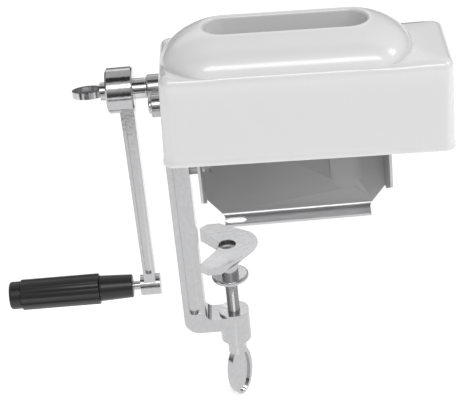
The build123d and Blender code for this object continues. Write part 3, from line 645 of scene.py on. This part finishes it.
def throatRings():
    # guides the meat down, then goes back up its outside
    rim = hood["rim"]
    inside = hood["height"] + hood["funnelRise"] - rim
    drops = (*hood["throatRings"], (hood["throat"] - hood["throatTip"], hood["throatInset"]))
    rings = [mouthRing(-rim - inset, inside - drop) for drop, inset in drops]
    foot = inside - hood["throat"]
    rings.append(mouthRing(-rim - hood["throatLip"], foot))
    rings.append(mouthRing(-rim + hood["throatOuter"], foot + hood["throatTip"]))
    return rings


def insideRings(foot):
    # under the funnel, round the roof's inner edge and down the inside of the skirt
    top = hood["height"] + hood["funnelRise"] - hood["throatTopDrop"]
    below = mouthRing(-hood["rim"] + hood["throatTop"], top)
    shareX, shareY = hood["underShare"]
    under = [(x * shareX, y * shareY, z - hood["roof"]) for x, y, z in foot]
    steps = hood["underSteps"]
    rings = [blendRings(under, below, *shoulder(step / steps)) for step in range(steps, -1, -1)]
    bend, loss = hood["innerRound"], hood["innerCornerLoss"]
    wall = hood["wall"] + hood["lipFlare"] + hood["draft"]
    roofBelow = hood["height"] - hood["roof"] - hood["innerDrop"]
    for step in range(hood["innerRoundSteps"] + 1):
        angle = math.radians(90 - 90 * step / hood["innerRoundSteps"])
        away = bend * (1 - math.cos(angle))
        rings.append(skirtRing(wall + away, roofBelow - bend + bend * math.sin(angle), loss))
    for height in hood["innerHeights"]:
        flare = hood["lipFlare"] + hood["draft"] * height / hood["height"]
        rings.append(skirtRing(hood["wall"] + flare, height, loss))
    rings.append(skirtRing(hood["wall"] + hood["innerLip"], 0.0, loss))
    return rings


def hoodRings():
    base = hoodRing(*hood["base"], hood["height"])
    edge = roofEdgeRing(math.pi / 2)
    foot = funnelFoot(base, edge)
    return skirtRings() + roofEdgeRings(base, edge) + funnelRings(foot) + throatRings() + insideRings(foot)


def ringShell(name, rings):
    count = len(rings[0])
    points = [point for ring in rings for point in ring]
    faces = []
    for level in range(len(rings)):
        above = (level + 1) % len(rings)
        for place in range(count):
            after = (place + 1) % count
            low, high = level * count, above * count
            faces.append((low + place, low + after, high + after, high + place))
    mesh = bpy.data.meshes.new(name)
    mesh.from_pydata([[value * mm for value in point] for point in points], [], faces)
    work = bmesh.new()
    work.from_mesh(mesh)
    bmesh.ops.recalc_face_normals(work, faces=work.faces)
    work.to_mesh(mesh)
    work.free()
    return mesh


def notchCutter(name, y, radius):
    steps = hood["notchSteps"]
    outline = [(y - radius, hood["notchFoot"])]
    for step in range(steps + 1):
        angle = math.pi - math.pi * step / steps
        outline.append((y + radius * math.cos(angle), hood["rollerHeight"] + radius * math.sin(angle)))
    outline.append((y + radius, hood["notchFoot"]))
    count = len(outline)
    points = [(x * mm, across * mm, up * mm) for x in hood["notchReach"] for across, up in outline]
    faces = [tuple(range(count)), tuple(range(2 * count - 1, count - 1, -1))]
    for place in range(count):
        after = (place + 1) % count
        faces.append((place, place + count, after + count, after))
    mesh = bpy.data.meshes.new(name)
    mesh.from_pydata(points, [], faces)
    work = bmesh.new()
    work.from_mesh(mesh)
    bmesh.ops.recalc_face_normals(work, faces=work.faces)
    work.to_mesh(mesh)
    work.free()
    cutter = bpy.data.objects.new(name, mesh)
    bpy.context.scene.collection.objects.link(cutter)
    return cutter


def buildHood():
    mesh = ringShell("hoodDraft", hoodRings())
    tilt = Matrix.Rotation(math.radians(hood["tilt"]), 4, "Y")
    mesh.transform(Matrix.Translation(Vector(hood["centre"]) * mm) @ tilt)
    draft = bpy.data.objects.new("hoodDraft", mesh)
    bpy.context.scene.collection.objects.link(draft)
    notches = enumerate(hood["notches"])
    cutters = [notchCutter("notch%d" % number, y, radius) for number, (y, radius) in notches]
    for cutter in cutters:
        cut = draft.modifiers.new(cutter.name, "BOOLEAN")
        cut.object = cutter
        cut.solver = "EXACT"
    shell = plainMesh(draft, "hoodShell")
    for cutter in cutters:
        bpy.data.objects.remove(cutter)
    shell.materials.clear()
    shell.materials.append(finish["white_plastic"])
    smoothShade(shell, hood["smooth"])
    return addPiece("hoodShell", shell, ["hood"])


buildHood()
print("hood ready")


def newTree(name, inputs):
    tree = bpy.data.node_groups.new(name, "GeometryNodeTree")
    tree.is_modifier = True
    keys = {}
    for label, kind, value in inputs:
        socket = tree.interface.new_socket(label, in_out="INPUT", socket_type=kind)
        if value is not None:
            socket.default_value = value
        keys[label] = socket.identifier
    tree.interface.new_socket("Geometry", in_out="OUTPUT", socket_type="NodeSocketGeometry")
    return tree, addNode(tree, "NodeGroupInput"), addNode(tree, "NodeGroupOutput"), keys


def closeTree(tree, geometry, material, leave):
    real = addNode(tree, "GeometryNodeRealizeInstances")
    paint = addNode(tree, "GeometryNodeSetMaterial")
    paint.inputs["Material"].default_value = material
    joinNodes(tree, geometry, real.inputs[0])
    joinNodes(tree, real.outputs[0], paint.inputs["Geometry"])
    joinNodes(tree, paint.outputs[0], leave.inputs[0])


def runTree(name, tree, keys, values, extra=None):
    # an empty working object carries the tree, then becomes a plain mesh
    carrier = bpy.data.objects.new(name + "Draft", bpy.data.meshes.new(name + "Draft"))
    bpy.context.scene.collection.objects.link(carrier)
    modifier = carrier.modifiers.new("nodes", "NODES")
    modifier.node_group = tree
    for label, value in values.items():
        modifier[keys[label]] = value
    if extra:
        extra(carrier)
    return plainMesh(carrier, name)


def combine(tree, x, y, z):
    node = addNode(tree, "ShaderNodeCombineXYZ")
    for socket, value in zip(node.inputs, (x, y, z)):
        if isinstance(value, (int, float)):
            socket.default_value = value
        else:
            joinNodes(tree, value, socket)
    return node.outputs[0]


# the grip on the crank, in mm
grip = {
    "startX": -138.0,
    "coneLength": 27.0,
    "ribLength": 63.9,
    "coneSmall": 9.35,
    "coneBig": 10.5,
    "ribRadius": 12.5,
    "flutes": 8,
    "fluteDepth": 0.95,
    "fluteLift": 0.1,
    "fluteGain": 0.909,
    "fluteCurve": 0.7,
    "edgeRound": 0.7,
    "edgeAngle": 50,
    "spindle": 3.65,
    "boreSpare": 2,
    "axisY": 8.0,
    "axisZ": -56.8,
}


def gripTree():
    tree, entry, leave, keys = newTree("flutedGrip", (
        ("Cone length", "NodeSocketFloat", 0.03), ("Rib length", "NodeSocketFloat", 0.06),
        ("Cone small", "NodeSocketFloat", 0.009), ("Cone big", "NodeSocketFloat", 0.0105),
        ("Rib radius", "NodeSocketFloat", 0.0125), ("Flutes", "NodeSocketInt", 8),
        ("Flute depth", "NodeSocketFloat", 0.001),
    ))
    # cone towards the crank
    coneLine = addNode(tree, "GeometryNodeCurvePrimitiveLine")
    coneEnd = mathStep(tree, "MULTIPLY", entry.outputs["Cone length"], -1.0)
    joinNodes(tree, combine(tree, coneEnd, 0.0, 0.0), coneLine.inputs["End"])
    coneCut = addNode(tree, "GeometryNodeResampleCurve")
    coneCut.inputs["Count"].default_value = 12
    joinNodes(tree, coneLine.outputs[0], coneCut.inputs["Curve"])
    along = addNode(tree, "GeometryNodeSplineParameter")
    spread = mathStep(tree, "SUBTRACT", entry.outputs["Cone big"], entry.outputs["Cone small"])
    grown = mathStep(tree, "MULTIPLY", along.outputs["Factor"], spread)
    radius = mathStep(tree, "ADD", grown, entry.outputs["Cone small"])
    roundProfile = addNode(tree, "GeometryNodeCurvePrimitiveCircle")
    roundProfile.inputs["Resolution"].default_value = 96
    roundProfile.inputs["Radius"].default_value = 1.0
    coneSweep = addNode(tree, "GeometryNodeCurveToMesh")
    coneSweep.inputs["Fill Caps"].default_value = True
    joinNodes(tree, coneCut.outputs[0], coneSweep.inputs["Curve"])
    joinNodes(tree, radius, coneSweep.inputs["Scale"])
    joinNodes(tree, roundProfile.outputs[0], coneSweep.inputs["Profile Curve"])
    # ribbed body with hollow flutes between broad ribs
    ribProfile = addNode(tree, "GeometryNodeCurvePrimitiveCircle")
    ribProfile.inputs["Resolution"].default_value = 192
    joinNodes(tree, entry.outputs["Rib radius"], ribProfile.inputs["Radius"])
    spot = addNode(tree, "GeometryNodeInputPosition")
    split = addNode(tree, "ShaderNodeSeparateXYZ")
    joinNodes(tree, spot.outputs[0], split.inputs[0])
    angle = mathStep(tree, "ARCTAN2", split.outputs["Y"], split.outputs["X"])
    wave = mathStep(tree, "COSINE", mathStep(tree, "MULTIPLY", angle, entry.outputs["Flutes"]))
    raised = mathStep(tree, "MULTIPLY", mathStep(tree, "ADD", wave, grip["fluteLift"]), grip["fluteGain"])
    curved = mathStep(tree, "POWER", mathStep(tree, "MAXIMUM", raised, 0.0), grip["fluteCurve"])
    hollow = mathStep(tree, "MULTIPLY", curved, entry.outputs["Flute depth"])
    keep = mathStep(tree, "SUBTRACT", 1.0, mathStep(tree, "DIVIDE", hollow, entry.outputs["Rib radius"]))
    shrink = addNode(tree, "ShaderNodeVectorMath", operation="SCALE")
    joinNodes(tree, spot.outputs[0], shrink.inputs[0])
    joinNodes(tree, keep, shrink.inputs["Scale"])
    fluted = addNode(tree, "GeometryNodeSetPosition")
    joinNodes(tree, ribProfile.outputs[0], fluted.inputs["Geometry"])
    joinNodes(tree, shrink.outputs[0], fluted.inputs["Position"])
    ribLine = addNode(tree, "GeometryNodeCurvePrimitiveLine")
    ribEnd = mathStep(tree, "SUBTRACT", coneEnd, entry.outputs["Rib length"])
    joinNodes(tree, combine(tree, coneEnd, 0.0, 0.0), ribLine.inputs["Start"])
    joinNodes(tree, combine(tree, ribEnd, 0.0, 0.0), ribLine.inputs["End"])
    ribSweep = addNode(tree, "GeometryNodeCurveToMesh")
    ribSweep.inputs["Fill Caps"].default_value = True
    joinNodes(tree, ribLine.outputs[0], ribSweep.inputs["Curve"])
    joinNodes(tree, fluted.outputs[0], ribSweep.inputs["Profile Curve"])
    both = addNode(tree, "GeometryNodeJoinGeometry")
    joinNodes(tree, ribSweep.outputs[0], both.inputs[0])
    joinNodes(tree, coneSweep.outputs[0], both.inputs[0])
    closeTree(tree, both.outputs[0], finish["black_plastic"], leave)
    return tree, keys


def rod(name, start, end, radius, steps=48):
    # a plain closed rod along X, used to cut bores
    work = bmesh.new()
    length = abs(end - start)
    bmesh.ops.create_cone(work, cap_ends=True, segments=steps, radius1=radius, radius2=radius, depth=length)
    work.transform(Matrix.Translation(((start + end) / 2, 0, 0)) @ Matrix.Rotation(math.pi / 2, 4, "Y"))
    mesh = bpy.data.meshes.new(name)
    work.to_mesh(mesh)
    work.free()
    piece = bpy.data.objects.new(name, mesh)
    bpy.context.scene.collection.objects.link(piece)
    return piece


def buildGrip():
    tree, keys = gripTree()
    spare = grip["boreSpare"]
    far = -(grip["coneLength"] + grip["ribLength"] + spare)
    bore = rod("gripBore", spare * mm, far * mm, grip["spindle"] * mm)

    def finishShape(carrier):
        rounding = carrier.modifiers.new("rounding", "BEVEL")
        rounding.width = grip["edgeRound"] * mm
        rounding.segments = 3
        rounding.limit_method = "ANGLE"
        rounding.angle_limit = math.radians(grip["edgeAngle"])
        cut = carrier.modifiers.new("bore", "BOOLEAN")
        cut.object = bore
        cut.solver = "EXACT"
        cut.use_self = True

    mesh = runTree("grooveGrip", tree, keys, {
        "Cone length": grip["coneLength"] * mm,
        "Rib length": grip["ribLength"] * mm,
        "Cone small": grip["coneSmall"] * mm,
        "Cone big": grip["coneBig"] * mm,
        "Rib radius": grip["ribRadius"] * mm,
        "Flutes": grip["flutes"],
        "Flute depth": grip["fluteDepth"] * mm,
    }, finishShape)
    bpy.data.objects.remove(bore)
    mesh.transform(Matrix.Translation(Vector((grip["startX"], grip["axisY"], grip["axisZ"])) * mm))
    smoothShade(mesh, softening["smooth"])
    return addPiece("grooveGrip", mesh, ["grip"])


buildGrip()
print("grip ready")


# toothed discs on the two rollers, in mm
blades = {
    "teeth": 20,
    "radius": 17.5,
    "root": 15.3,
    "bore": 6.05,
    "thick": 1.2,
    "pitch": 9.0,
    "height": 119.2,
    "seal": 0.01,
    "smooth": 25,
    "rows": {"drive_blades": (15, 8.0), "driven_blades": (14, -24.0)},
}


def bladeTree():
    tree, entry, leave, keys = newTree("bladeRow", (
        ("Count", "NodeSocketInt", 15), ("Pitch", "NodeSocketFloat", 0.009), ("Teeth", "NodeSocketInt", 20),
        ("Radius", "NodeSocketFloat", 0.0175), ("Root", "NodeSocketFloat", 0.0153),
        ("Bore", "NodeSocketFloat", 0.006), ("Thickness", "NodeSocketFloat", 0.0012),
        ("Centre", "NodeSocketVector", (0, 0, 0)),
    ))
    teeth = addNode(tree, "GeometryNodeCurveStar")
    joinNodes(tree, entry.outputs["Teeth"], teeth.inputs["Points"])
    joinNodes(tree, entry.outputs["Root"], teeth.inputs["Inner Radius"])
    joinNodes(tree, entry.outputs["Radius"], teeth.inputs["Outer Radius"])
    hole = addNode(tree, "GeometryNodeCurvePrimitiveCircle")
    hole.inputs["Resolution"].default_value = 48
    joinNodes(tree, entry.outputs["Bore"], hole.inputs["Radius"])
    outline = addNode(tree, "GeometryNodeJoinGeometry")
    joinNodes(tree, teeth.outputs[0], outline.inputs[0])
    joinNodes(tree, hole.outputs[0], outline.inputs[0])
    face = addNode(tree, "GeometryNodeFillCurve")
    joinNodes(tree, outline.outputs[0], face.inputs["Curve"])
    thicken = addNode(tree, "GeometryNodeExtrudeMesh")
    thicken.inputs["Individual"].default_value = False
    joinNodes(tree, face.outputs[0], thicken.inputs["Mesh"])
    joinNodes(tree, entry.outputs["Thickness"], thicken.inputs["Offset Scale"])
    back = addNode(tree, "GeometryNodeFlipFaces")
    joinNodes(tree, face.outputs[0], back.inputs["Mesh"])
    solid = addNode(tree, "GeometryNodeJoinGeometry")
    joinNodes(tree, thicken.outputs[0], solid.inputs[0])
    joinNodes(tree, back.outputs[0], solid.inputs[0])
    seal = addNode(tree, "GeometryNodeMergeByDistance")
    seal.inputs["Distance"].default_value = blades["seal"] * mm
    joinNodes(tree, solid.outputs[0], seal.inputs["Geometry"])
    upright = addNode(tree, "GeometryNodeTransform")
    joinNodes(tree, seal.outputs[0], upright.inputs["Geometry"])
    upright.inputs["Rotation"].default_value = (0, math.pi / 2, 0)
    half = mathStep(tree, "MULTIPLY", entry.outputs["Thickness"], -0.5)
    joinNodes(tree, combine(tree, half, 0.0, 0.0), upright.inputs["Translation"])
    row = addNode(tree, "GeometryNodeMeshLine")
    joinNodes(tree, entry.outputs["Count"], row.inputs["Count"])
    gaps = mathStep(tree, "SUBTRACT", entry.outputs["Count"], 1.0)
    span = mathStep(tree, "MULTIPLY", gaps, entry.outputs["Pitch"])
    first = combine(tree, mathStep(tree, "MULTIPLY", span, -0.5), 0.0, 0.0)
    start = addNode(tree, "ShaderNodeVectorMath", operation="ADD")
    joinNodes(tree, first, start.inputs[0])
    joinNodes(tree, entry.outputs["Centre"], start.inputs[1])
    joinNodes(tree, start.outputs[0], row.inputs["Start Location"])
    joinNodes(tree, combine(tree, entry.outputs["Pitch"], 0.0, 0.0), row.inputs["Offset"])
    repeat = addNode(tree, "GeometryNodeInstanceOnPoints")
    joinNodes(tree, row.outputs[0], repeat.inputs["Points"])
    joinNodes(tree, upright.outputs[0], repeat.inputs["Instance"])
    closeTree(tree, repeat.outputs[0], finish["blade_steel"], leave)
    return tree, keys


bladeNodes, bladeKeys = bladeTree()
for nodeName, (count, y) in blades["rows"].items():
    mesh = runTree(nodeName.replace("_", "") + "Row", bladeNodes, bladeKeys, {
        "Count": count,
        "Pitch": blades["pitch"] * mm,
        "Teeth": blades["teeth"],
        "Radius": blades["radius"] * mm,
        "Root": blades["root"] * mm,
        "Bore": blades["bore"] * mm,
        "Thickness": blades["thick"] * mm,
        "Centre": (0.0, y * mm, blades["height"] * mm),
    })
    smoothShade(mesh, blades["smooth"])
    addPiece(nodeName.replace("_", "") + "Row", mesh, [nodeName])
print("blades ready")


# the clamp screw's thread, in mm
screw = {
    "x": -58.2,
    "radius": 5.0,
    "root": 4.35,
    "pitch": 1.5,
    "flank": 2.5,
    "samples": 10,
    "around": 40,
    "wallMatch": 0.03,
    "wallSlope": 0.3,
    "seal": 0.005,
    "smooth": 50,
}


def threadTree():
    tree, entry, leave, keys = newTree("screwThread", (
        ("Length", "NodeSocketFloat", 0.06), ("Radius", "NodeSocketFloat", 0.005),
        ("Root", "NodeSocketFloat", 0.0044), ("Pitch", "NodeSocketFloat", 0.0015),
        ("Rows", "NodeSocketInt", 400), ("Around", "NodeSocketInt", 41),
    ))
    skin = addNode(tree, "GeometryNodeMeshGrid")
    skin.inputs["Size X"].default_value = 1.0
    skin.inputs["Size Y"].default_value = 1.0
    joinNodes(tree, entry.outputs["Around"], skin.inputs["Vertices X"])
    joinNodes(tree, entry.outputs["Rows"], skin.inputs["Vertices Y"])
    spot = addNode(tree, "GeometryNodeInputPosition")
    split = addNode(tree, "ShaderNodeSeparateXYZ")
    joinNodes(tree, spot.outputs[0], split.inputs[0])
    turn = mathStep(tree, "ADD", split.outputs["X"], 0.5)
    share = mathStep(tree, "ADD", split.outputs["Y"], 0.5)
    climb = mathStep(tree, "MULTIPLY", share, entry.outputs["Length"])
    phase = mathStep(tree, "SUBTRACT", mathStep(tree, "DIVIDE", climb, entry.outputs["Pitch"]), turn)
    saw = mathStep(tree, "PINGPONG", phase, 0.5)
    crest = mathStep(tree, "MINIMUM", mathStep(tree, "MULTIPLY", saw, screw["flank"]), 1.0)
    height = mathStep(tree, "SUBTRACT", entry.outputs["Radius"], entry.outputs["Root"])
    radius = mathStep(tree, "ADD", mathStep(tree, "MULTIPLY", crest, height), entry.outputs["Root"])
    angle = mathStep(tree, "MULTIPLY", turn, 2 * math.pi)
    x = mathStep(tree, "MULTIPLY", mathStep(tree, "COSINE", angle), radius)
    y = mathStep(tree, "MULTIPLY", mathStep(tree, "SINE", angle), radius)
    wrap = addNode(tree, "GeometryNodeSetPosition")
    joinNodes(tree, skin.outputs[0], wrap.inputs["Geometry"])
    joinNodes(tree, combine(tree, x, y, climb), wrap.inputs["Position"])
    seal = addNode(tree, "GeometryNodeMergeByDistance")
    seal.inputs["Distance"].default_value = screw["seal"] * mm
    joinNodes(tree, wrap.outputs[0], seal.inputs["Geometry"])
    closeTree(tree, seal.outputs[0], finish["turned_steel"], leave)
    return tree, keys


def buildScrew():
    # the plain shank stays, its threaded length is swapped for a real helix
    work = mergedNode("clamp_screw")
    smooth = []
    for face in work.faces:
        reach = [math.hypot(vert.co.x - screw["x"] * mm, vert.co.y) for vert in face.verts]
        onWall = all(abs(value - screw["radius"] * mm) < screw["wallMatch"] * mm for value in reach)
        if onWall and abs(face.normal.z) < screw["wallSlope"]:
            smooth.append(face)
    levels = [vert.co.z for face in smooth for vert in face.verts]
    bottom, top = min(levels), max(levels)
    bmesh.ops.delete(work, geom=smooth, context="FACES")
    tree, keys = threadTree()
    rows = int((top - bottom) / (screw["pitch"] * mm) * screw["samples"])
    helix = runTree("helix", tree, keys, {
        "Length": top - bottom,
        "Radius": screw["radius"] * mm,
        "Root": screw["root"] * mm,
        "Pitch": screw["pitch"] * mm,
        "Rows": rows,
        "Around": screw["around"] + 1,
    })
    helix.transform(Matrix.Translation((screw["x"] * mm, 0, bottom)))
    work.from_mesh(helix)
    bmesh.ops.recalc_face_normals(work, faces=work.faces)
    mesh = bpy.data.meshes.new("threadedScrew")
    work.to_mesh(mesh)
    work.free()
    mesh.materials.append(finish["turned_steel"])
    mesh.polygons.foreach_set("material_index", [0] * len(mesh.polygons))
    smoothShade(mesh, screw["smooth"])
    return addPiece("threadedScrew", mesh, ["clamp_screw"])


buildScrew()
print("clamp screw ready")


# castings, sheet and small hardware whose edges are rounded
roundings = {
    # node: (piece, finish, edge radius in mm, steps)
    "housing": ("bentHousing", "sheet_steel", 0.45, 2),
    "clamp_frame": ("castClamp", "cast_zinc", 1.3, 3),
    "crank_arm": ("castCrank", "cast_zinc", 1.1, 3),
    "clamp_shoe": ("castShoe", "cast_zinc", 1.0, 3),
    "swivel_disc": ("swivelDisc", "cast_zinc", 0.9, 3),
    "screw_collar": ("screwCollar", "turned_steel", 0.5, 2),
    "clamp_wing": ("clampWing", "cast_zinc", 1.2, 3),
    "crank_wing_screw": ("crankWing", "cast_zinc", 1.0, 3),
    "drive_left_bush": ("driveLeftBush", "turned_steel", 0.5, 2),
    "driven_left_bush": ("drivenLeftBush", "turned_steel", 0.5, 2),
    "drive_right_bush": ("driveRightBush", "turned_steel", 0.4, 2),
    "driven_right_bush": ("drivenRightBush", "turned_steel", 0.4, 2),
    "drive_gear": ("driveGear", "white_nylon", 0.25, 2),
    "driven_gear": ("drivenGear", "white_nylon", 0.25, 2),
    "drive_nut": ("driveNut", "turned_steel", 0.6, 2),
    "driven_nut": ("drivenNut", "turned_steel", 0.6, 2),
    "tie_nuts": ("tieNuts", "turned_steel", 0.35, 2),
    "comb_screws": ("combScrews", "turned_steel", 0.35, 2),
    "clamp_bolts": ("clampBolts", "turned_steel", 0.5, 2),
    "clamp_nuts": ("clampNuts", "turned_steel", 0.5, 2),
    "clamp_washers": ("clampWashers", "turned_steel", 0.25, 2),
    "grip_cap": ("gripCap", "black_plastic", 0.8, 3),
    "front_comb": ("frontComb", "blade_steel", 0.3, 1),
    "rear_comb": ("rearComb", "blade_steel", 0.3, 1),
}
for nodeName, (pieceName, slotName, width, steps) in roundings.items():
    softenedCopy(nodeName, pieceName, slotName, width, steps)
print("rounded pieces ready:", len(roundings))


# pieces whose CAD shape stays, and the finish of each
keptNodes = {
    "drive_shaft": "turned_steel",
    "driven_shaft": "turned_steel",
    "drive_sleeves": "white_nylon",
    "driven_sleeves": "white_nylon",
    "drive_washer": "turned_steel",
    "driven_washer": "turned_steel",
    "tie_rod": "turned_steel",
    "handle_spindle": "turned_steel",
    "wing_pin": "turned_steel",
}
for nodeName, slotName in keptNodes.items():
    node = frame["nodes"][nodeName]
    if not node.material_slots:
        node.data.materials.append(finish[slotName])
    for slot in node.material_slots:
        slot.material = finish[slotName]
print("kept pieces painted:", len(keptNodes))
